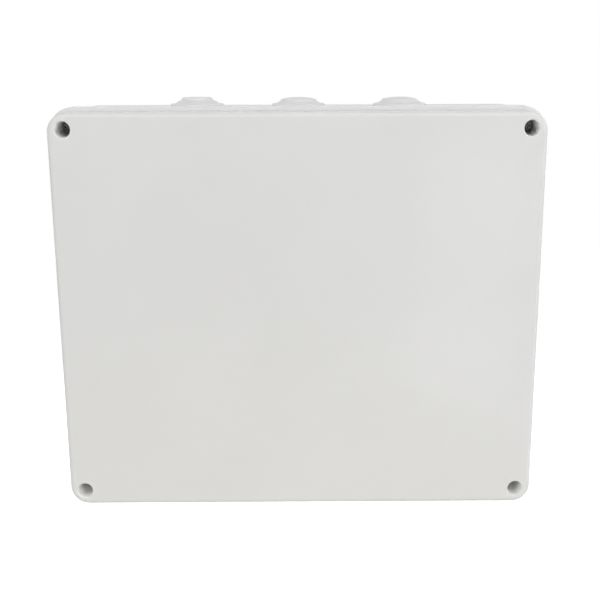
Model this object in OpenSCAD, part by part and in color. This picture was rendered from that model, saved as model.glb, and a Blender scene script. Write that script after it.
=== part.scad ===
// Electrical junction box for a wall: a deep moulded base, a screwed lid with a seal, and soft cable
// grommets on all four sides. X points right, Z up and the lid faces -Y. The origin is the middle of the
// back face, which lies on the wall. Sizes are in millimetres.
// Each piece is drawn lying on its back, with z from the wall to the lid face, and stood up by on_wall().

/* [Overall size] */
// Width across the rims
box_w = 300; // [260:1:400]
// Height across the rims
box_h = 250; // [220:1:340]
// Depth from the wall to the lid face
box_d = 120; // [108:1:160]
// Depth of the lid, from the seam to its face
lid_d = 28; // [26:0.5:36]
// Corner radius of the rims, seen from the front
corner_r = 13.5; // [13:0.5:20]

/* [Walls] */
// Wall thickness of the base and the lid
wall = 3; // [2.5:0.1:3.5]
// Thickness of the base floor
floor_t = 3; // [2:0.1:5]
// Thickness of the lid face
face_t = 3; // [2:0.1:4]
// Draft of the base walls, in degrees
draft = 1; // [0.5:0.25:1.5]
// How far the rims stand proud of the walls
rim_out = 2; // [1.6:0.1:4]
// Depth of each rim from the seam
rim_d = 8; // [6:0.5:9]
// Gap between the two rims
seam_gap = 0.4; // [0.2:0.1:0.8]
// Radius along the edge of the lid face
face_edge_r = 3; // [1:0.5:4]
// Radius along the inner edge of the floor
floor_edge_r = 3; // [1:0.5:4]
// Radius along the edge of the back
back_edge_r = 2.5; // [1:0.5:3]
// Radius along the outer edges of the rims
rim_edge_r = 1.5; // [0.5:0.25:2]
// Radius along the seam edges of the rims
seam_edge_r = 0.6; // [0.3:0.1:1]

/* [Seal] */
// Thickness of the tongue on the base
tongue_t = 2; // [1.5:0.1:2.5]
// Height of the tongue above the seam
tongue_h = 4; // [3:0.25:5]
// Height of the gasket, pressed
gasket_h = 3; // [2:0.25:4]
// Width of the groove in the lid
groove_w = 3.4; // [3.2:0.1:4.4]
// Play of the gasket in its groove, on each side
gasket_play = 0.15; // [0.1:0.05:0.3]
// Thickness of the rib along the inside of the groove
groove_rib_t = 2; // [1.5:0.1:2.5]
// Thickness of the web over the groove
groove_web_t = 2.5; // [2:0.1:3]
// Radius of the turns where the seal leaves the wall to pass a screw
seal_turn_r = 5; // [4.5:0.25:7]

/* [Lid screws] */
// Distance of the screw axes from the outside of the rims
screw_inset = 11.5; // [11:0.25:14]
// Thread diameter of the screws
screw_d = 4; // [3:0.5:5]
// Thread pitch
screw_pitch = 0.7; // [0.5:0.1:0.8]
// Turns that free a screw from its insert
screw_turns = 12; // [8:1:13]
// Diameter of the screw heads
head_d = 8; // [7:0.25:8.5]
// Height of the screw heads
head_h = 3.1; // [2.5:0.1:4]
// Diameter of the wells in the lid
well_d = 9.6; // [9:0.1:11]
// Depth of the wells, from the lid face to the seat of the head
well_depth = 23; // [18:0.5:23.5]
// Chamfer round the mouth of a well
well_edge = 0.4; // [0.2:0.05:0.4]
// Wall round a well, inside the lid
well_wall = 1.8; // [1.5:0.1:2.2]
// Play of a screw in the lid, on the radius
screw_play = 0.3; // [0.2:0.05:0.5]
// Width of the arms of the cross recess
recess_w = 1.2; // [0.8:0.1:1.4]
// Span of the cross recess
recess_span = 4.6; // [3.5:0.1:5.5]
// Depth of the cross recess
recess_depth = 1.8; // [1:0.1:2.2]

/* [Retaining rings and inserts] */
// Outer diameter of a retaining ring
ring_d = 7.4; // [6.5:0.1:8]
// Thickness of a retaining ring
ring_t = 1.2; // [0.8:0.1:1.5]
// Room round a retaining ring in its post
ring_room = 0.5; // [0.3:0.1:0.8]
// Gap between a retaining ring and the insert below it, and the lid above it when the screw is out
ring_gap = 0.3; // [0.2:0.05:0.5]
// Running play of the thread in rings and inserts, on the radius
thread_play = 0.05; // [0.02:0.01:0.1]
// Outer diameter of an insert
insert_d = 6; // [5.5:0.1:7]
// Length of an insert
insert_len = 10; // [10:0.5:16]
// Play of an insert in its post, on the radius
insert_play = 0.02; // [0.01:0.01:0.05]

/* [Corner posts] */
// Wall of a screw post round its ring
post_wall = 2; // [1.8:0.1:2.5]
// Width of the open pocket between a screw post and the seal wall round it
pocket_w = 3.3; // [2.5:0.1:4]
// Height of the pocket floor above the wall
pocket_floor = 20; // [10:1:60]

/* [Cable grommets] */
// Diameter of the entry holes
entry_d = 28; // [24:0.5:30]
// Spacing of the entries along the top and bottom
entry_pitch_w = 65; // [50:1:72]
// Spacing of the entries along the left and right
entry_pitch_h = 58; // [50:1:62]
// Height of the entry axes above the wall
entry_z = 48; // [40:1:54]
// Diameter of the flat ring round an entry
seat_d = 40; // [36:0.5:44]
// Least height of that ring above the drafted wall
seat_step = 0.1; // [0.1:0.05:0.4]
// Outer diameter of a grommet
flange_d = 34; // [32:0.5:36]
// Thickness of a grommet's outer flange
flange_t = 1.8; // [1.6:0.1:2.5]
// Radius along the edges of that flange
flange_edge_r = 0.7; // [0.3:0.1:0.7]
// Diameter of a grommet's shoulder, at the foot of its nose
shoulder_d = 23; // [20:0.5:23.5]
// Diameter of the flat end of a grommet's nose
nose_d = 17.6; // [14:0.2:18]
// How far a grommet stands out of its seat
grommet_h = 5.7; // [5:0.1:9]
// Thickness of a grommet's skin
skin_t = 1.3; // [1:0.1:1.5]
// Diameter of the barb inside the wall
barb_d = 31.5; // [31:0.1:33]
// Depth of the barb
barb_l = 4; // [3:0.25:5]
// Play of a grommet on the wall, all round
grommet_play = 0.1; // [0.05:0.05:0.2]

/* [Fixing] */
// Distance of the wall fixings from the outside of the left and right rims
fixing_inset_w = 37.5; // [36:0.5:60]
// Distance of the wall fixings from the outside of the top and bottom rims
fixing_inset_h = 30; // [28:0.5:38]
// Diameter of the wall fixing holes
fixing_d = 5.5; // [4:0.1:7]
// Diameter of the bosses round the fixing holes
fixing_boss_d = 14; // [11:0.5:16]
// Height of the bosses above the floor
fixing_boss_h = 3; // [1:0.5:6]
// Distance of the plate bosses from the outside of the left and right rims
plate_inset_w = 25; // [22:0.5:60]
// Distance of the plate bosses from the outside of the top and bottom rims
plate_inset_h = 55; // [53:0.5:75]
// Diameter of the plate bosses
plate_boss_d = 9; // [7:0.5:10]
// Height of the plate bosses above the floor
plate_boss_h = 10; // [8:0.5:14]
// Diameter of the pilot holes in the plate bosses
pilot_d = 3.2; // [2.5:0.1:4]
// Depth of the pilot holes
pilot_depth = 9; // [6:0.5:10]
// Thickness of the ribs on the plate bosses
boss_rib_t = 1.6; // [1:0.1:2]
// Length of those ribs
boss_rib_l = 5; // [3:0.5:6]

/* [Hidden] */
$fn = 96;
lap = 0.5; // how far joined shapes run into each other
through = 1; // how far cuts run past a face

// Levels above the wall
seam_z = box_d - lid_d;
seat_z = box_d - well_depth;
groove_z = seam_z + tongue_h + gasket_h;
lid_room_z = groove_z + groove_web_t;
screw_travel = screw_turns * screw_pitch;
ring_top_z = seam_z - ring_gap - screw_travel;
insert_top_z = ring_top_z - ring_t - ring_gap;
screw_tip_z = insert_top_z - screw_travel + thread_play;
tip_chamfer = screw_d / 8;

// Places across the box, from its middle
body_r = corner_r - rim_out;
screw_x = box_w / 2 - screw_inset;
screw_y = box_h / 2 - screw_inset;
seal_x = box_w / 2 - rim_out - wall / 2;
seal_y = box_h / 2 - rim_out - wall / 2;
fixing_w = box_w - 2 * fixing_inset_w;
fixing_h = box_h - 2 * fixing_inset_h;
plate_w = box_w - 2 * plate_inset_w;
plate_h = box_h - 2 * plate_inset_h;

// Rings round a screw axis, from the inside out
chamber_r = ring_d / 2 + ring_room;
post_r = chamber_r + post_wall;
pocket_r = post_r + pocket_w;
seal_r = pocket_r + wall / 2;

// Flat seats of the grommets on the drafted walls
seat_proud = seat_d / 2 * tan(draft) + seat_step;
seat_t = wall + 2 * seat_proud;

CORNERS = [
    ["top_left", -1, 1],
    ["top_right", 1, 1],
    ["bottom_left", -1, -1],
    ["bottom_right", 1, -1]
];
// Side, turn about the depth axis, reach to the rim, spacing, and the three places along it
SIDES = [
    ["right", 0, box_w / 2, entry_pitch_h, ["lower", "middle", "upper"]],
    ["top", 90, box_h / 2, entry_pitch_w, ["right", "middle", "left"]],
    ["left", 180, box_w / 2, entry_pitch_h, ["upper", "middle", "lower"]],
    ["bottom", 270, box_h / 2, entry_pitch_w, ["left", "middle", "right"]]
];
ENTRIES = [for (side = SIDES) for (k = [-1, 0, 1]) [str("grommet_", side[0], "_", side[4][k + 1]), side, k]];

function hundredth(size) = round(size * 100) / 100;

// Stands a piece up against the wall
module on_wall() {
    rotate([90, 0, 0]) children();
}

// Half of a slab's outline, from its axis to its rounded edge
module slab_profile(reach, low, high, low_r, high_r) {
    translate([0, low + low_r]) square([reach, high - low - low_r - high_r]);
    translate([0, low]) square([reach - low_r, high - low - high_r]);
    translate([0, low + low_r]) square([reach - high_r, high - low - low_r]);
    if (low_r > 0) translate([reach - low_r, low + low_r]) circle(low_r);
    if (high_r > 0) translate([reach - high_r, high - high_r]) circle(high_r);
}

// Half of a shoulder's outline, sloping from the rounded edge of a rim in to the wall, up (1) or down (-1)
module shoulder_profile(edge, way) {
    root = body_r - lap;
    drop = 0.3 * rim_edge_r;
    tip = corner_r - drop;
    polygon([
        [root, edge - way * rim_edge_r],
        [tip, edge - way * drop],
        [root, edge + way * (tip - root - drop)]
    ]);
}

// Half of a drafted tub's outline, from its axis to its wall, with a round edge at the foot
module tub_profile(reach, low, high, foot_r) {
    foot = hundredth(reach - (high - low) * tan(draft));
    polygon([
        [0, low],
        [foot - foot_r, low],
        [foot, low + foot_r],
        [reach, high],
        [0, high]
    ]);
    translate([foot - foot_r, low + foot_r]) circle(foot_r);
}

// Carries an outline, whose axis is the corner's, all the way round the box and fills the middle
module all_round(low, high) {
    flat_w = box_w - 2 * corner_r;
    flat_h = box_h - 2 * corner_r;
    for (turn = [0 : 3]) {
        along = turn % 2 == 0 ? flat_h : flat_w;
        out = turn % 2 == 0 ? flat_w / 2 : flat_h / 2;
        rotate(90 * turn) translate([out, 0, 0]) {
            rotate([90, 0, 0]) linear_extrude(along, center = true) children();
            translate([0, along / 2, 0]) rotate_extrude(angle = 90) children();
        }
    }
    translate([-flat_w / 2, -flat_h / 2, low]) cube([flat_w, flat_h, high - low]);
}

module at_corners() {
    for (c = CORNERS) translate([c[1] * screw_x, c[2] * screw_y, 0]) children();
}

// Mirrors a flat outline into the four quarters of the front
module in_quarters() {
    for (c = CORNERS) mirror([c[1] < 0 ? 1 : 0, 0]) mirror([0, c[2] < 0 ? 1 : 0]) children();
}

module at_grid(across, up) {
    for (x = [-1, 1], y = [-1, 1]) translate([x * across / 2, y * up / 2, 0]) children();
}

// An entry's own axis points out of the wall, from the face of its seat
module at_entry(side, k) {
    out = side[2] - rim_out - (seam_z - entry_z) * tan(draft) + seat_proud;
    rotate(side[1]) translate([out, k * side[3], entry_z]) rotate([0, 90, 0]) children();
}

// The area inside the seal line moved outwards by grow. The line runs along the walls, and at each corner it
// turns in to pass the screw by a quarter circle.
module seal_area(grow) {
    reach = box_w + box_h;
    turn_x = seal_x - seal_turn_r;
    turn_y = seal_y - seal_turn_r;
    notch_x = screw_x - seal_r;
    notch_y = screw_y - seal_r;
    difference() {
        square([2 * (seal_x + grow), 2 * (seal_y + grow)], center = true);
        in_quarters() {
            translate([screw_x, notch_y + grow]) square(reach);
            translate([notch_x + grow, screw_y]) square(reach);
            translate([turn_x, notch_y - seal_turn_r]) square(reach);
            translate([notch_x - seal_turn_r, turn_y]) square(reach);
            translate([screw_x, screw_y]) circle(seal_r - grow);
        }
    }
    in_quarters() {
        translate([turn_x, notch_y - seal_turn_r]) circle(seal_turn_r + grow);
        translate([notch_x - seal_turn_r, turn_y]) circle(seal_turn_r + grow);
    }
}

// A band of the given width along the seal line
module seal_band(width, low, high) {
    translate([0, 0, low]) linear_extrude(high - low) difference() {
        seal_area(width / 2);
        seal_area(-width / 2);
    }
}

// Space inside the base walls, from the floor up to a level
module base_room(high) {
    reach = body_r - wall - (seam_z - high) * tan(draft);
    all_round(floor_t, high) tub_profile(reach, floor_t, high, floor_edge_r);
}

module base_shell() {
    difference() {
        union() {
            all_round(0, seam_z) tub_profile(body_r, 0, seam_z, back_edge_r);
            all_round(seam_z - rim_d, seam_z)
                slab_profile(corner_r, seam_z - rim_d, seam_z, rim_edge_r, seam_edge_r);
            all_round(seam_z - rim_d, seam_z) shoulder_profile(seam_z - rim_d, -1);
        }
        intersection() {
            linear_extrude(seam_z + through) seal_area(-wall / 2);
            union() {
                base_room(seam_z - rim_d);
                translate([-box_w / 2, -box_h / 2, seam_z - rim_d - lap])
                    cube([box_w, box_h, rim_d + lap + through]);
            }
        }
        intersection() {
            base_room(seam_z + through);
            at_corners() translate([0, 0, pocket_floor]) difference() {
                cylinder(h = seam_z, r = pocket_r);
                cylinder(h = seam_z, r = post_r);
            }
        }
    }
}

// Boss for a mounting plate, with four ribs at its foot
module plate_boss() {
    rib_span = plate_boss_d + 2 * boss_rib_l;
    translate([0, 0, floor_t - lap]) {
        cylinder(h = plate_boss_h + lap, d = plate_boss_d);
        for (turn = [0, 90]) rotate([90, 0, turn]) linear_extrude(boss_rib_t, center = true) polygon([
            [-rib_span / 2, 0],
            [rib_span / 2, 0],
            [plate_boss_d / 2 - lap, plate_boss_h / 2],
            [lap - plate_boss_d / 2, plate_boss_h / 2]
        ]);
    }
}

module base() {
    color("#d9d9d7") on_wall() difference() {
        union() {
            base_shell();
            seal_band(tongue_t, seam_z - lap, seam_z + tongue_h);
            for (e = ENTRIES) at_entry(e[1], e[2]) translate([0, 0, -seat_t])
                cylinder(h = seat_t, d = seat_d);
            at_grid(plate_w, plate_h) plate_boss();
            at_grid(fixing_w, fixing_h) translate([0, 0, floor_t - lap])
                cylinder(h = fixing_boss_h + lap, d = fixing_boss_d);
        }
        for (e = ENTRIES) at_entry(e[1], e[2]) translate([0, 0, -seat_t - through])
            cylinder(h = seat_t + 2 * through, d = entry_d);
        at_grid(plate_w, plate_h) translate([0, 0, floor_t + plate_boss_h - pilot_depth])
            cylinder(h = pilot_depth + through, d = pilot_d);
        at_grid(fixing_w, fixing_h) translate([0, 0, -through])
            cylinder(h = floor_t + fixing_boss_h + 2 * through, d = fixing_d);
        at_corners() {
            translate([0, 0, insert_top_z]) cylinder(h = seam_z, r = chamber_r);
            translate([0, 0, insert_top_z - insert_len])
                cylinder(h = insert_len + through, r = insert_d / 2 + insert_play);
        }
    }
}

module lid() {
    rim_low = seam_z + seam_gap;
    inner_r = body_r - wall;
    color("#dadad8") on_wall() difference() {
        union() {
            difference() {
                union() {
                    all_round(rim_low, box_d) slab_profile(body_r, rim_low, box_d, 0, face_edge_r);
                    all_round(rim_low, seam_z + rim_d)
                        slab_profile(corner_r, rim_low, seam_z + rim_d, seam_edge_r, rim_edge_r);
                    all_round(rim_low, seam_z + rim_d) shoulder_profile(seam_z + rim_d, 1);
                }
                difference() {
                    all_round(lid_room_z, box_d - face_t)
                        slab_profile(inner_r, lid_room_z, box_d - face_t, 0, face_edge_r / 2);
                    at_corners() cylinder(h = box_d, d = well_d + 2 * well_wall);
                }
                translate([0, 0, seam_z]) linear_extrude(lid_room_z - seam_z + lap)
                    seal_area(-groove_w / 2 - groove_rib_t);
            }
            at_corners() translate([0, 0, seam_z]) cylinder(h = seam_gap + lap, r = post_r);
        }
        seal_band(groove_w, seam_z, groove_z);
        at_corners() {
            translate([0, 0, seam_z - through]) cylinder(h = box_d, r = screw_d / 2 + screw_play);
            translate([0, 0, seat_z]) cylinder(h = box_d, d = well_d);
            translate([0, 0, box_d - lap])
                cylinder(h = 2 * lap, r1 = well_d / 2 + well_edge - lap, r2 = well_d / 2 + well_edge + lap);
        }
    }
}

module lid_gasket() {
    color("#3c3c3e") on_wall() seal_band(groove_w - 2 * gasket_play, seam_z + tongue_h, groove_z);
}

// Stepped soft grommet, closed until a cable is pushed through, with z measured from its seat
module grommet() {
    neck_r = entry_d / 2 - grommet_play;
    inner = -seat_t - grommet_play;
    hollow_r = neck_r - 2 * skin_t;
    shoulder_h = (flange_t + grommet_h) / 2;
    run = (shoulder_d - nose_d) / 2;
    difference() {
        union() {
            rotate_extrude()
                slab_profile(flange_d / 2, grommet_play, flange_t, flange_edge_r, flange_edge_r);
            rotate_extrude() polygon([
                [0, grommet_h],
                [nose_d / 2, grommet_h],
                [nose_d / 2 + run / 2, shoulder_h],
                [shoulder_d / 2, shoulder_h],
                [shoulder_d / 2 + run, flange_t],
                [neck_r, grommet_play],
                [neck_r, inner],
                [barb_d / 2, inner],
                [neck_r - skin_t / 2, inner - barb_l],
                [0, inner - barb_l]
            ]);
        }
        rotate_extrude() polygon([
            [0, grommet_h - skin_t],
            [nose_d / 2 - skin_t, grommet_h - skin_t],
            [shoulder_d / 2 - skin_t, shoulder_h - skin_t],
            [hollow_r, 0],
            [hollow_r, inner - barb_l - through],
            [0, inner - barb_l - through]
        ]);
    }
}

module thread_insert() {
    knurl = insert_len / 3;
    waist_r = insert_d / 2 - screw_d / 10;
    color("#c8a45a") translate([0, 0, insert_top_z - insert_len]) difference() {
        union() {
            cylinder(h = knurl, d = insert_d);
            cylinder(h = insert_len, r = waist_r);
            translate([0, 0, insert_len - knurl]) cylinder(h = knurl, d = insert_d);
        }
        translate([0, 0, -through]) cylinder(h = insert_len + 2 * through, r = screw_d / 2 + thread_play);
    }
}

module screw_ring() {
    color("#e6e4da") translate([0, 0, ring_top_z - ring_t]) difference() {
        cylinder(h = ring_t, d = ring_d);
        translate([0, 0, -through]) cylinder(h = ring_t + 2 * through, r = screw_d / 2 + thread_play);
    }
}

module lid_screw() {
    color("#4b4c4f") difference() {
        union() {
            rotate_extrude() slab_profile(head_d / 2, seat_z, seat_z + head_h, 0, head_h / 3);
            translate([0, 0, screw_tip_z + tip_chamfer])
                cylinder(h = seat_z - screw_tip_z - tip_chamfer + lap, d = screw_d);
            translate([0, 0, screw_tip_z])
                cylinder(h = tip_chamfer, d1 = screw_d - 2 * tip_chamfer, d2 = screw_d);
        }
        for (turn = [0, 90]) rotate(turn)
            translate([-recess_span / 2, -recess_w / 2, seat_z + head_h - recess_depth])
                cube([recess_span, recess_w, recess_depth + through]);
    }
}

// Puts a corner piece on its screw axis
module at_corner(c) {
    on_wall() translate([c[1] * screw_x, c[2] * screw_y, 0]) children();
}

base();
lid();
lid_gasket();
for (e = ENTRIES)
    color("#d2d2d0") on_wall() at_entry(e[1], e[2]) grommet();
for (c = CORNERS) {
    at_corner(c) thread_insert();
    at_corner(c) screw_ring();
    at_corner(c) lid_screw();
}
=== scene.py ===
import math

import bmesh
import bpy
from mathutils import Matrix, Vector


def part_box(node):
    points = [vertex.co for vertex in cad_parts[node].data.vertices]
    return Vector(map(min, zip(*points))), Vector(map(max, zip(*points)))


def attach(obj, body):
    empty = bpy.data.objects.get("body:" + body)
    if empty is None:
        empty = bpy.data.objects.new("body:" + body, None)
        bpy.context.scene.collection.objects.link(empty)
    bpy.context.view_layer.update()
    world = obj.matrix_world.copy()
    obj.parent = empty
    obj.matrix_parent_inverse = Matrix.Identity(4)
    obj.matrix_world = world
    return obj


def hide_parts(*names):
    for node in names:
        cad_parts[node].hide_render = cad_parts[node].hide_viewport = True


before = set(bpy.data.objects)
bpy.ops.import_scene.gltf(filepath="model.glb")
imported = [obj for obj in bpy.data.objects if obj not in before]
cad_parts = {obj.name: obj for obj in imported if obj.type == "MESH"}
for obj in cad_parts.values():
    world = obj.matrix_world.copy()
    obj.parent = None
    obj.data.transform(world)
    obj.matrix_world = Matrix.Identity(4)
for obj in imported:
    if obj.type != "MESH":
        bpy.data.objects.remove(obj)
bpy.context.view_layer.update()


# The base is the deep back box that is screwed to the wall. It is injection moulded in light grey ABS,
# with its corner posts, floor bosses, entry seats and seal tongue in one piece, and carries the fine grain
# of its tool.
def moulded_plastic(name, light, dark, gloss, grain_depth):
    """Makes a plastic that drifts between two tones, with a range of gloss and a fine grain."""
    material = bpy.data.materials.new(name)
    material.use_nodes = True
    tree = material.node_tree
    shader = tree.nodes["Principled BSDF"]
    shader.inputs["Subsurface Weight"].default_value = 0.7
    shader.inputs["Subsurface Scale"].default_value = 0.002
    shader.inputs["Subsurface Radius"].default_value = (1, 1, 0.95)
    place = tree.nodes.new("ShaderNodeTexCoord")
    place.name = "place"

    # The melt leaves slow drifts of tone where it flowed and cooled.
    flow = tree.nodes.new("ShaderNodeTexNoise")
    flow.inputs["Scale"].default_value = 14
    flow.inputs["Detail"].default_value = 3
    flow.inputs["Distortion"].default_value = 0.6
    tone = tree.nodes.new("ShaderNodeValToRGB")
    tone.name = "tone"
    tone.color_ramp.elements[0].position = 0.3
    tone.color_ramp.elements[0].color = (*dark, 1)
    tone.color_ramp.elements[1].position = 0.7
    tone.color_ramp.elements[1].color = (*light, 1)
    tree.links.new(place.outputs["Object"], flow.inputs["Vector"])
    tree.links.new(flow.outputs["Fac"], tone.inputs["Fac"])
    tree.links.new(tone.outputs["Color"], shader.inputs["Base Color"])

    # The gloss is a little uneven, as on a tool that was polished by hand.
    polish = tree.nodes.new("ShaderNodeTexNoise")
    polish.inputs["Scale"].default_value = 55
    polish.inputs["Detail"].default_value = 4
    gloss_range = tree.nodes.new("ShaderNodeMapRange")
    gloss_range.inputs["To Min"].default_value = gloss[0]
    gloss_range.inputs["To Max"].default_value = gloss[1]
    tree.links.new(place.outputs["Object"], polish.inputs["Vector"])
    tree.links.new(polish.outputs["Fac"], gloss_range.inputs["Value"])
    tree.links.new(gloss_range.outputs["Result"], shader.inputs["Roughness"])

    grain = tree.nodes.new("ShaderNodeTexNoise")
    grain.inputs["Scale"].default_value = 1900
    grain.inputs["Detail"].default_value = 2
    relief = tree.nodes.new("ShaderNodeBump")
    relief.inputs["Strength"].default_value = 0.35
    relief.inputs["Distance"].default_value = grain_depth
    tree.links.new(place.outputs["Object"], grain.inputs["Vector"])
    tree.links.new(grain.outputs["Fac"], relief.inputs["Height"])
    tree.links.new(relief.outputs["Normal"], shader.inputs["Normal"])
    return material


base_abs = moulded_plastic("base_abs", (0.690, 0.690, 0.690), (0.676, 0.676, 0.675), (0.30, 0.40),
                           0.00003)
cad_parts["base"].data.materials.clear()
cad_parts["base"].data.materials.append(base_abs)


# Four threaded inserts are pressed into the corner posts for the lid screws. Each is turned from brass
# bar, with two knurled bands that grip the plastic and a plain waist between them.
def stained_metal(name, dark, light, gloss, stain_scale, stain_detail):
    """Makes a metal whose tone and gloss follow one fine stain."""
    material = bpy.data.materials.new(name)
    material.use_nodes = True
    tree = material.node_tree
    shader = tree.nodes["Principled BSDF"]
    shader.inputs["Metallic"].default_value = 1
    place = tree.nodes.new("ShaderNodeTexCoord")
    stain = tree.nodes.new("ShaderNodeTexNoise")
    stain.inputs["Scale"].default_value = stain_scale
    stain.inputs["Detail"].default_value = stain_detail
    tone = tree.nodes.new("ShaderNodeValToRGB")
    tone.color_ramp.elements[0].color = (*dark, 1)
    tone.color_ramp.elements[1].color = (*light, 1)
    gloss_range = tree.nodes.new("ShaderNodeMapRange")
    gloss_range.inputs["To Min"].default_value = gloss[0]
    gloss_range.inputs["To Max"].default_value = gloss[1]
    tree.links.new(place.outputs["Object"], stain.inputs["Vector"])
    tree.links.new(stain.outputs["Fac"], tone.inputs["Fac"])
    tree.links.new(tone.outputs["Color"], shader.inputs["Base Color"])
    tree.links.new(stain.outputs["Fac"], gloss_range.inputs["Value"])
    tree.links.new(gloss_range.outputs["Result"], shader.inputs["Roughness"])
    return material


def turned(outline, steps, closed):
    """Spins an outline of (radius, height) points about the Z axis into a closed shape."""
    shape = bmesh.new()
    points = [shape.verts.new((radius, 0, height)) for radius, height in outline]
    lines = [shape.edges.new(pair) for pair in zip(points, points[1:])]
    if closed:
        lines.append(shape.edges.new((points[-1], points[0])))
    bmesh.ops.spin(shape, geom=points + lines, cent=(0, 0, 0), axis=(0, 0, 1), angle=2 * math.pi,
                   steps=steps, use_merge=True)
    bmesh.ops.remove_doubles(shape, verts=shape.verts, dist=1e-6)
    bmesh.ops.recalc_face_normals(shape, faces=shape.faces)
    return shape


def soften(shape, angle, width, segments):
    """Rounds every edge that turns by more than an angle, as a tool or a tumbler does."""
    sharp = [edge for edge in shape.edges if edge.is_manifold and edge.calc_face_angle(0) > angle]
    bmesh.ops.bevel(shape, geom=sharp, offset=width, affect="EDGES", segments=segments, profile=0.5,
                    material=-1, clamp_overlap=True)


def fit_piece(shape, name, place, material, body, node):
    """Puts a copy of a shape in its place as a piece that rides on a body and stands for a CAD node."""
    mesh = bpy.data.meshes.new(name)
    shape.to_mesh(mesh)
    mesh.transform(place)
    mesh.shade_smooth()
    mesh.set_sharp_from_angle(angle=math.radians(35))
    mesh.materials.append(material)
    piece = bpy.data.objects.new(name, mesh)
    bpy.context.scene.collection.objects.link(piece)
    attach(piece, body)
    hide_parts(node)


def front_end(low, high):
    """Gives the place of a shape whose heights run back from the front of a CAD node's box."""
    middle = Matrix.Translation(((low.x + high.x) / 2, low.y, (low.z + high.z) / 2))
    return middle @ Matrix.Rotation(math.pi / 2, 4, "X")


brass = stained_metal("turned_brass", (0.52, 0.34, 0.11), (0.78, 0.58, 0.26), (0.22, 0.42), 600, 3)
# Heights run from the mouth of the insert down into the post. Every second line of the bands is cut in.
knurl_teeth, knurl_r, knurl_cut = 48, 0.0029, 0.94
insert_shape = turned([(0.00205, -0.0004), (0.0024, 0), (0.00272, 0), (0.00298, -0.0003), (0.00298, -0.0031),
                       (0.00258, -0.0035), (0.00258, -0.0065), (0.00298, -0.0069), (0.00298, -0.0097),
                       (0.00272, -0.01), (0.00205, -0.01)], 2 * knurl_teeth, True)
for point in insert_shape.verts:
    line = round(math.atan2(point.co.y, point.co.x) / (math.pi / knurl_teeth))
    if point.co.xy.length > knurl_r and line % 2:
        point.co.xy *= knurl_cut
corners = ("top_left", "top_right", "bottom_left", "bottom_right")
for corner in corners:
    mouth = front_end(*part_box("thread_insert_" + corner))
    fit_piece(insert_shape, "brass_insert_" + corner, mouth, brass, "base", "thread_insert_" + corner)
insert_shape.free()


# Twelve cable grommets are pushed into the entry holes from outside. Each is moulded in soft grey PVC, with
# a round flange on the wall, a stepped nose that is cut to suit the cable, and a barb behind the wall.
soft_pvc = moulded_plastic("soft_pvc", (0.730, 0.730, 0.728), (0.705, 0.705, 0.702), (0.42, 0.55), 0.00006)
# Heights run from the end of the nose back into the wall. Most noses bulge a little, and one is flat.
dome_r, dome_rise = 0.0108, 0.0011
dome_bend = (dome_r ** 2 + dome_rise ** 2) / (2 * dome_rise)
flat_nose = [(0, 0), (0.0092, 0), (0.0106, -0.0019)]
domed_nose = []
for step in range(7):
    radius = dome_r * step / 6
    domed_nose.append((radius, math.sqrt(dome_bend ** 2 - radius ** 2) - dome_bend))
grommet_body = [(0.0116, -0.00205), (0.0146, -0.0039), (0.017, -0.0039), (0.017, -0.0056), (0.0139, -0.0056),
                (0.0139, -0.0097), (0.01575, -0.0097), (0.01325, -0.0137), (0.0113, -0.0137),
                (0.0113, -0.0057), (0.0102, -0.00325), (0.0075, -0.0021), (0, -0.0013)]
grommet_shapes = {}
for nose_form, nose_outline in (("flat", flat_nose), ("domed", domed_nose)):
    grommet_shapes[nose_form] = turned(nose_outline + grommet_body, 96, False)
    soften(grommet_shapes[nose_form], math.radians(20), 0.0006, 3)
grommet_out = {"right": Vector((1, 0, 0)), "top": Vector((0, 0, 1)), "left": Vector((-1, 0, 0)),
               "bottom": Vector((0, 0, -1))}
for node in sorted(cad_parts):
    if node.startswith("grommet_"):
        out = grommet_out[node.split("_")[1]]
        low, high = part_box(node)
        nose = (low + high) / 2 + out * abs((high - low).dot(out)) / 2
        facing = out.to_track_quat("Z", "Y").to_matrix().to_4x4()
        nose_form = "flat" if node == "grommet_top_left" else "domed"
        fit_piece(grommet_shapes[nose_form], "soft_" + node, Matrix.Translation(nose) @ facing, soft_pvc,
                  "base", node)
for shape in grommet_shapes.values():
    shape.free()


# The lid is a deep cover of the same ABS, moulded with a round well in each corner for its screw and a
# groove for the seal. Its face is polished more than the base, so it shows a soft reflection.
lid_abs = moulded_plastic("lid_abs", (0.692, 0.692, 0.692), (0.680, 0.680, 0.679), (0.14, 0.20), 0.00002)
# The walls of the wells are painted lighter than the face, a painted light that stands in for light the lamps
# bring into them, and they scatter light deeper. The core pins that leave them are not polished, so they have
# no shine.
lid_tree = lid_abs.node_tree
well_fold = lid_tree.nodes.new("ShaderNodeVectorMath")
well_fold.operation = "ABSOLUTE"
well_axis = lid_tree.nodes.new("ShaderNodeVectorMath")
well_axis.operation = "SUBTRACT"
low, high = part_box("lid_screw_top_right")
well_axis.inputs[1].default_value = ((low.x + high.x) / 2, 0, (low.z + high.z) / 2)
well_flat = lid_tree.nodes.new("ShaderNodeVectorMath")
well_flat.operation = "MULTIPLY"
well_flat.inputs[1].default_value = (1, 0, 1)
well_distance = lid_tree.nodes.new("ShaderNodeVectorMath")
well_distance.operation = "LENGTH"
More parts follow.
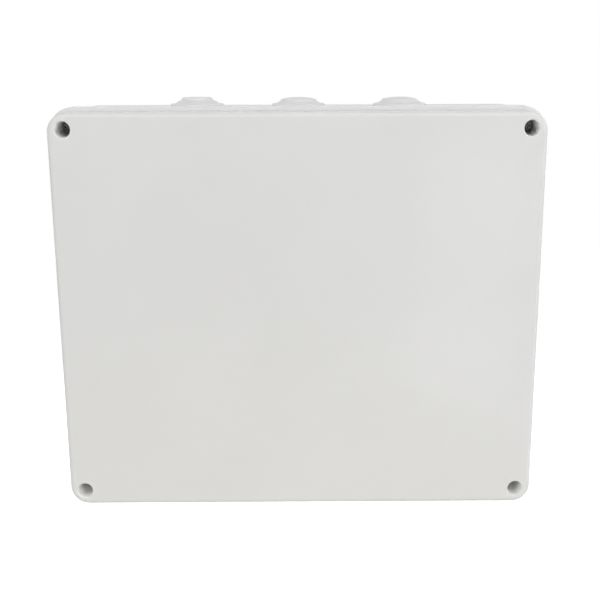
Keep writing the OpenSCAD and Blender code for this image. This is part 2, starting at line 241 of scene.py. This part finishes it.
# The painted light of the wells ends just outside the wall of a well, before the chamfer of its mouth.
well_r = 0.0048
well_inside = lid_tree.nodes.new("ShaderNodeMapRange")
well_inside.inputs["From Min"].default_value = well_r + 0.00005
well_inside.inputs["From Max"].default_value = well_r + 0.00015
well_inside.inputs["To Min"].default_value = 1
well_inside.inputs["To Max"].default_value = 0
well_painted_light = lid_tree.nodes.new("ShaderNodeMixRGB")
well_painted_light.inputs["Color2"].default_value = (0.95, 0.95, 0.94, 1)
lid_tree.links.new(lid_tree.nodes["place"].outputs["Object"], well_fold.inputs[0])
lid_tree.links.new(well_fold.outputs["Vector"], well_axis.inputs[0])
lid_tree.links.new(well_axis.outputs["Vector"], well_flat.inputs[0])
lid_tree.links.new(well_flat.outputs["Vector"], well_distance.inputs[0])
lid_tree.links.new(well_distance.outputs["Value"], well_inside.inputs["Value"])
lid_tree.links.new(well_inside.outputs["Result"], well_painted_light.inputs["Fac"])
lid_tree.links.new(lid_tree.nodes["tone"].outputs["Color"], well_painted_light.inputs["Color1"])
well_glow = lid_tree.nodes.new("ShaderNodeMapRange")
well_glow.inputs["To Min"].default_value = 0.002
well_glow.inputs["To Max"].default_value = 0.012
lid_tree.links.new(well_inside.outputs["Result"], well_glow.inputs["Value"])
well_shine = lid_tree.nodes.new("ShaderNodeMapRange")
well_shine.inputs["To Min"].default_value = 0.5
well_shine.inputs["To Max"].default_value = 0
lid_tree.links.new(well_inside.outputs["Result"], well_shine.inputs["Value"])
lid_shader = lid_tree.nodes["Principled BSDF"]
lid_tree.links.new(well_painted_light.outputs["Color"], lid_shader.inputs["Base Color"])
lid_tree.links.new(well_glow.outputs["Result"], lid_shader.inputs["Subsurface Scale"])
lid_tree.links.new(well_shine.outputs["Result"], lid_shader.inputs["Specular IOR Level"])
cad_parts["lid"].data.materials.clear()
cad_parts["lid"].data.materials.append(lid_abs)


# The lid gasket is a closed ring of dark foamed rubber, poured into the groove of the lid, with the fine
# open cells of the foam on its skin.
foam = bpy.data.materials.new("foamed_rubber")
foam.use_nodes = True
foam_tree = foam.node_tree
foam_shader = foam_tree.nodes["Principled BSDF"]
foam_place = foam_tree.nodes.new("ShaderNodeTexCoord")
foam_cells = foam_tree.nodes.new("ShaderNodeTexVoronoi")
foam_cells.inputs["Scale"].default_value = 1600
foam_tone = foam_tree.nodes.new("ShaderNodeValToRGB")
foam_tone.color_ramp.elements[0].color = (0.022, 0.022, 0.024, 1)
foam_tone.color_ramp.elements[1].color = (0.075, 0.075, 0.08, 1)
foam_gloss = foam_tree.nodes.new("ShaderNodeMapRange")
foam_gloss.inputs["To Min"].default_value = 0.65
foam_gloss.inputs["To Max"].default_value = 0.9
foam_relief = foam_tree.nodes.new("ShaderNodeBump")
foam_relief.inputs["Strength"].default_value = 0.6
foam_relief.inputs["Distance"].default_value = 0.0002
foam_tree.links.new(foam_place.outputs["Object"], foam_cells.inputs["Vector"])
foam_tree.links.new(foam_cells.outputs["Distance"], foam_tone.inputs["Fac"])
foam_tree.links.new(foam_tone.outputs["Color"], foam_shader.inputs["Base Color"])
foam_tree.links.new(foam_cells.outputs["Distance"], foam_gloss.inputs["Value"])
foam_tree.links.new(foam_gloss.outputs["Result"], foam_shader.inputs["Roughness"])
foam_tree.links.new(foam_cells.outputs["Distance"], foam_relief.inputs["Height"])
foam_tree.links.new(foam_relief.outputs["Normal"], foam_shader.inputs["Normal"])
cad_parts["lid_gasket"].data.materials.clear()
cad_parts["lid_gasket"].data.materials.append(foam)


# A retaining ring of natural nylon is pressed on each screw below the lid, so that the screw stays with
# the lid when it is undone.
nylon = moulded_plastic("natural_nylon", (0.80, 0.79, 0.74), (0.74, 0.73, 0.67), (0.38, 0.5), 0.00004)
ring_shape = turned([(0.00205, 0), (0.0037, 0), (0.0037, -0.0012), (0.00205, -0.0012)], 64, True)
soften(ring_shape, math.radians(30), 0.0002, 2)
for corner in corners:
    top = front_end(*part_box("screw_ring_" + corner))
    fit_piece(ring_shape, "nylon_ring_" + corner, top, nylon, "screw_ring_" + corner,
              "screw_ring_" + corner)
ring_shape.free()


# Four lid screws sit deep in the corner wells. They are cold headed in steel with a cross recess, rolled
# with a fine thread at the tip, and plated in black zinc.
zinc = stained_metal("black_zinc", (0.09, 0.09, 0.094), (0.20, 0.20, 0.207), (0.25, 0.45), 420, 4)
# Heights run from the top of the head to the tip. The head is flat inside its round edge.
head_r, head_depth, flat_r = 0.004, 0.0031, 0.00297
recess_w, recess_span, recess_depth, recess_taper = 0.0012, 0.0046, 0.0018, 0.7
root_r, crest_r, pitch, turns, turn_steps = 0.00162, 0.00199, 0.0007, 15, 32
tip, tip_cut, flush = -0.02665, 0.0004, 1e-7
edge_r = head_r - flat_r
thread_low = tip + tip_cut
thread_high = thread_low + pitch * turns
screw_outline = []
for step in range(7):
    bend = step * math.pi / 12
    screw_outline.append((flat_r + edge_r * math.sin(bend), edge_r * math.cos(bend) - edge_r))
screw_outline += [(head_r, -head_depth), (crest_r, -head_depth), (crest_r, thread_high + 0.0001),
                  (root_r, thread_high), (root_r, thread_low), (root_r - tip_cut, tip), (0, tip)]
screw_shape = turned(screw_outline, 64, False)
# The flat of the head is cut along the sides of the cross, and the faces inside it are sunk.
bmesh.ops.create_circle(screw_shape, cap_ends=True, radius=flat_r, segments=64)
for across in (Vector((1, 0, 0)), Vector((0, 1, 0))):
    for reach in (recess_w / 2, -recess_w / 2, recess_span / 2, -recess_span / 2):
        top_faces = [face for face in screw_shape.faces if all(abs(v.co.z) < flush for v in face.verts)]
        top_edges = [edge for edge in screw_shape.edges if all(abs(v.co.z) < flush for v in edge.verts)]
        top_points = [point for point in screw_shape.verts if abs(point.co.z) < flush]
        bmesh.ops.bisect_plane(screw_shape, geom=top_faces + top_edges + top_points, plane_co=across * reach,
                               plane_no=across, dist=flush)
recess = []
for face in screw_shape.faces:
    middle = face.calc_center_median()
    if abs(middle.z) < flush and max(abs(middle.x), abs(middle.y)) < recess_span / 2:
        if min(abs(middle.x), abs(middle.y)) < recess_w / 2:
            recess.append(face)
floor_points = [v for v in bmesh.ops.extrude_face_region(screw_shape, geom=recess)["geom"]
                if isinstance(v, bmesh.types.BMVert)]
bmesh.ops.delete(screw_shape, geom=recess, context="FACES")
bmesh.ops.translate(screw_shape, verts=floor_points, vec=(0, 0, -recess_depth))
bmesh.ops.scale(screw_shape, verts=floor_points, vec=(recess_taper, recess_taper, 1))
bmesh.ops.remove_doubles(screw_shape, verts=screw_shape.verts, dist=flush)

# The ridge of the thread is drawn once and spun up the shank as a helix that runs out at both ends. Its foot
# is sunk a little into the shank.
foot_depth = 0.00004
ridge = [screw_shape.verts.new((radius, 0, thread_low + height * pitch))
         for radius, height in ((root_r, 0), (crest_r, 0.4), (crest_r, 0.6), (root_r, 1))]
ridge_lines = [screw_shape.edges.new(pair) for pair in zip(ridge, ridge[1:])]
before_thread = set(screw_shape.verts) - set(ridge)
bmesh.ops.spin(screw_shape, geom=ridge + ridge_lines, cent=(0, 0, 0), axis=(0, 0, 1),
               dvec=(0, 0, pitch / turn_steps), angle=2 * math.pi * (turns - 1),
               steps=turn_steps * (turns - 1))
for point in set(screw_shape.verts) - before_thread:
    turn = (point.co.z - thread_low) / pitch
    rise = min(1, max(0, turn), max(0, turns - turn))
    radius = root_r - foot_depth + (point.co.xy.length - root_r) * rise
    point.co.xy *= radius / point.co.xy.length
bmesh.ops.recalc_face_normals(screw_shape, faces=screw_shape.faces)
for corner in corners:
    head = front_end(*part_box("lid_screw_" + corner))
    fit_piece(screw_shape, "steel_screw_" + corner, head, zinc, "lid_screw_" + corner,
              "lid_screw_" + corner)
screw_shape.free()


# The box hangs well clear of a plain white floor, in soft even light: two broad lamps in front, left and
# right of the camera, fills above, on both sides and behind, and a warm bounce from below. Two small window
# panels show as faint reflections in the lid.
def seen_rays(tree):
    """Gives 1 for rays that show a thing to the camera, straight or in a gloss, and 0 for light."""
    rays = tree.nodes.new("ShaderNodeLightPath")
    bounced = tree.nodes.new("ShaderNodeMath")
    bounced.operation = "MAXIMUM"
    seen = tree.nodes.new("ShaderNodeMath")
    seen.operation = "MAXIMUM"
    tree.links.new(rays.outputs["Is Glossy Ray"], bounced.inputs[0])
    tree.links.new(rays.outputs["Is Transmission Ray"], bounced.inputs[1])
    tree.links.new(rays.outputs["Is Camera Ray"], seen.inputs[0])
    tree.links.new(bounced.outputs["Value"], seen.inputs[1])
    return seen.outputs["Value"]


floor_half, floor_height = 6, -0.45
floor_shape = bmesh.new()
bmesh.ops.create_grid(floor_shape, x_segments=1, y_segments=1, size=floor_half,
                      matrix=Matrix.Translation((0, 0, floor_height)))
floor_mesh = bpy.data.meshes.new("floor")
floor_shape.to_mesh(floor_mesh)
floor_shape.free()
floor = bpy.data.objects.new("floor", floor_mesh)
bpy.context.scene.collection.objects.link(floor)
floor_white = bpy.data.materials.new("floor_white")
floor_white.use_nodes = True
floor_tree = floor_white.node_tree
floor_shader = floor_tree.nodes["Principled BSDF"]
floor_shader.inputs["Base Color"].default_value = (0.5, 0.5, 0.5, 1)
floor_shader.inputs["Roughness"].default_value = 0.9
floor_shader.inputs["Specular IOR Level"].default_value = 0
floor_shader.inputs["Emission Color"].default_value = (1, 1, 1, 1)
floor_level = floor_tree.nodes.new("ShaderNodeMath")
floor_level.operation = "MULTIPLY"
floor_level.inputs[1].default_value = 0.93
floor_tree.links.new(seen_rays(floor_tree), floor_level.inputs[0])
floor_tree.links.new(floor_level.outputs["Value"], floor_shader.inputs["Emission Strength"])
floor_mesh.materials.append(floor_white)

room = bpy.data.worlds.new("white_room")
room.use_nodes = True
room_tree = room.node_tree
room_light = room_tree.nodes["Background"]
room_light.inputs["Color"].default_value = (1, 1, 1, 1)
room_light.inputs["Strength"].default_value = 0.14
room_white = room_tree.nodes.new("ShaderNodeBackground")
room_white.inputs["Color"].default_value = (1, 1, 1, 1)
room_white.inputs["Strength"].default_value = 1
room_mix = room_tree.nodes.new("ShaderNodeMixShader")
room_tree.links.new(seen_rays(room_tree), room_mix.inputs["Fac"])
room_tree.links.new(room_light.outputs["Background"], room_mix.inputs[1])
room_tree.links.new(room_white.outputs["Background"], room_mix.inputs[2])
room_tree.links.new(room_mix.outputs["Shader"], room_tree.nodes["World Output"].inputs["Surface"])
bpy.context.scene.world = room

# Places, targets and sizes are in metres, and powers in watts.
for name, place, target, size, power, colour in (
        ("key", (1.20, -1.60, 0.40), (0, -0.12, 0), 0.8, 16.0, (1, 1, 1)),
        ("left_key", (-1.10, -1.55, 0.40), (0, -0.12, 0), 0.8, 10.9, (1, 1, 1)),
        ("top_fill", (-0.10, -1.00, 0.95), (0, -0.1, 0), 0.9, 3.4, (1, 1, 1)),
        ("overhead", (0.10, -0.20, 1.30), (0, -0.1, 0), 1.0, 4.1, (1, 1, 1)),
        ("left_fill", (-1.60, -0.35, 0.20), (0, -0.1, 0), 1.0, 3.1, (1, 1, 1)),
        ("right_fill", (1.60, -0.40, 0.20), (0, -0.1, 0), 1.0, 6.2, (1, 1, 1)),
        ("back_fill", (-0.35, 1.25, 0.45), (0, 0, 0), 1.2, 13.0, (1, 1, 1)),
        ("warm_bounce", (-0.05, -0.35, -0.35), (0, -0.12, -0.1), 0.3, 0.11, (1, 0.8, 0.05)),
        ("window_upper", (0.20, -0.72, -0.012), (0.20, 0, -0.012), 0.13, 0.05, (1, 1, 1)),
        ("window_lower", (0.175, -0.72, -0.178), (0.175, 0, -0.178), 0.12, 0.05, (1, 1, 1))):
    light = bpy.data.lights.new(name, "AREA")
    light.size = size
    light.energy = power
    light.color = colour
    lamp = bpy.data.objects.new(name, light)
    lamp.visible_camera = False
    # Only the windows are seen in the gloss of the box, so the broad lamps leave no bars on its round edges.
    lamp.visible_glossy = name.startswith("window")
    lamp.location = place
    lamp.rotation_euler = (Vector(target) - Vector(place)).to_track_quat("-Z", "Y").to_euler()
    bpy.context.scene.collection.objects.link(lamp)
bpy.context.scene.view_settings.view_transform = "Standard"


# The camera stands in front of the box, a little above its top edge, and looks down on it. The photograph is
# a crop, so the optical centre lies below the middle of the frame, and the shift brings the box back into it.
lens = bpy.data.cameras.new("camera")
lens.lens = 70.98
lens.shift_x = -0.0285
lens.shift_y = 0.1763
pan, down, roll = math.radians(-0.341), math.radians(90 - 17.209), math.radians(-0.192)
camera = bpy.data.objects.new("camera", lens)
camera.matrix_world = (Matrix.Translation((0.00675, -0.83300, 0.16372)) @ Matrix.Rotation(pan, 4, "Z")
                       @ Matrix.Rotation(down, 4, "X") @ Matrix.Rotation(roll, 4, "Z"))
bpy.context.scene.collection.objects.link(camera)
bpy.context.scene.camera = camera
